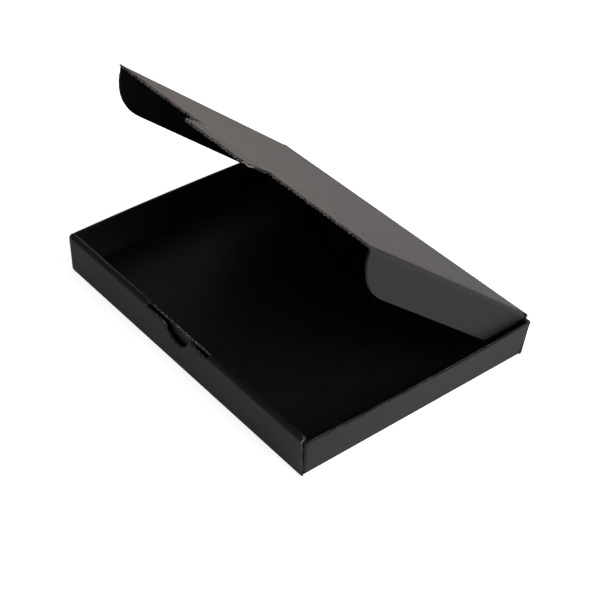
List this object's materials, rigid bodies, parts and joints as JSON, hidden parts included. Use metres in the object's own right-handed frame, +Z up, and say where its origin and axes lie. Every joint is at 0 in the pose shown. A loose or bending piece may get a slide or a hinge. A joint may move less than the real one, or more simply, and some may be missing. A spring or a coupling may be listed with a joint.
{
  "type": "die-cut mailer box",
  "caption": "Slim folded corrugated mailer box with a rolled, slotted front wall and a hinged lid whose side flaps tuck in and whose front tab locks it shut.",
  "frame": {"origin": "under the middle of the base, on the face that the box stands on", "axes": "+X along the front wall, +Y from the front wall to the hinged back wall, +Z up"},
  "size_m": [0.225, 0.1649, 0.1387],
  "materials": {
    "board": "matte black paper liner"
  },
  "bodies": {
    "tray": {"tray": "board"},
    "lid": {"lid": "board"},
    "left_flap": {"left_flap": "board"},
    "right_flap": {"right_flap": "board"},
    "lock_tab": {"lock_tab": "board"}
  },
  "joints": [
    {"name": "lid_hinge", "type": "hinge", "parent": "tray", "child": "lid", "pos_m": [0, 0.08416, 0.024], "axis": [-1, 0, 0], "range_deg": [-40.35, 139.2]},
    {"name": "left_flap_crease", "type": "hinge", "parent": "lid", "child": "left_flap", "pos_m": [-0.10995, 0.08416, 0.024], "axis": [0, 0.757, -0.6534], "range_deg": [-10, 90]},
    {"name": "right_flap_crease", "type": "hinge", "parent": "lid", "child": "right_flap", "pos_m": [0.10995, 0.08416, 0.024], "axis": [0, -0.757, 0.6534], "range_deg": [-10, 90]},
    {"name": "lock_tab_crease", "type": "hinge", "parent": "lid", "child": "lock_tab", "pos_m": [0, -0.03825, 0.12966], "axis": [1, 0, 0], "range_deg": [-4, 86.41]}
  ]
}
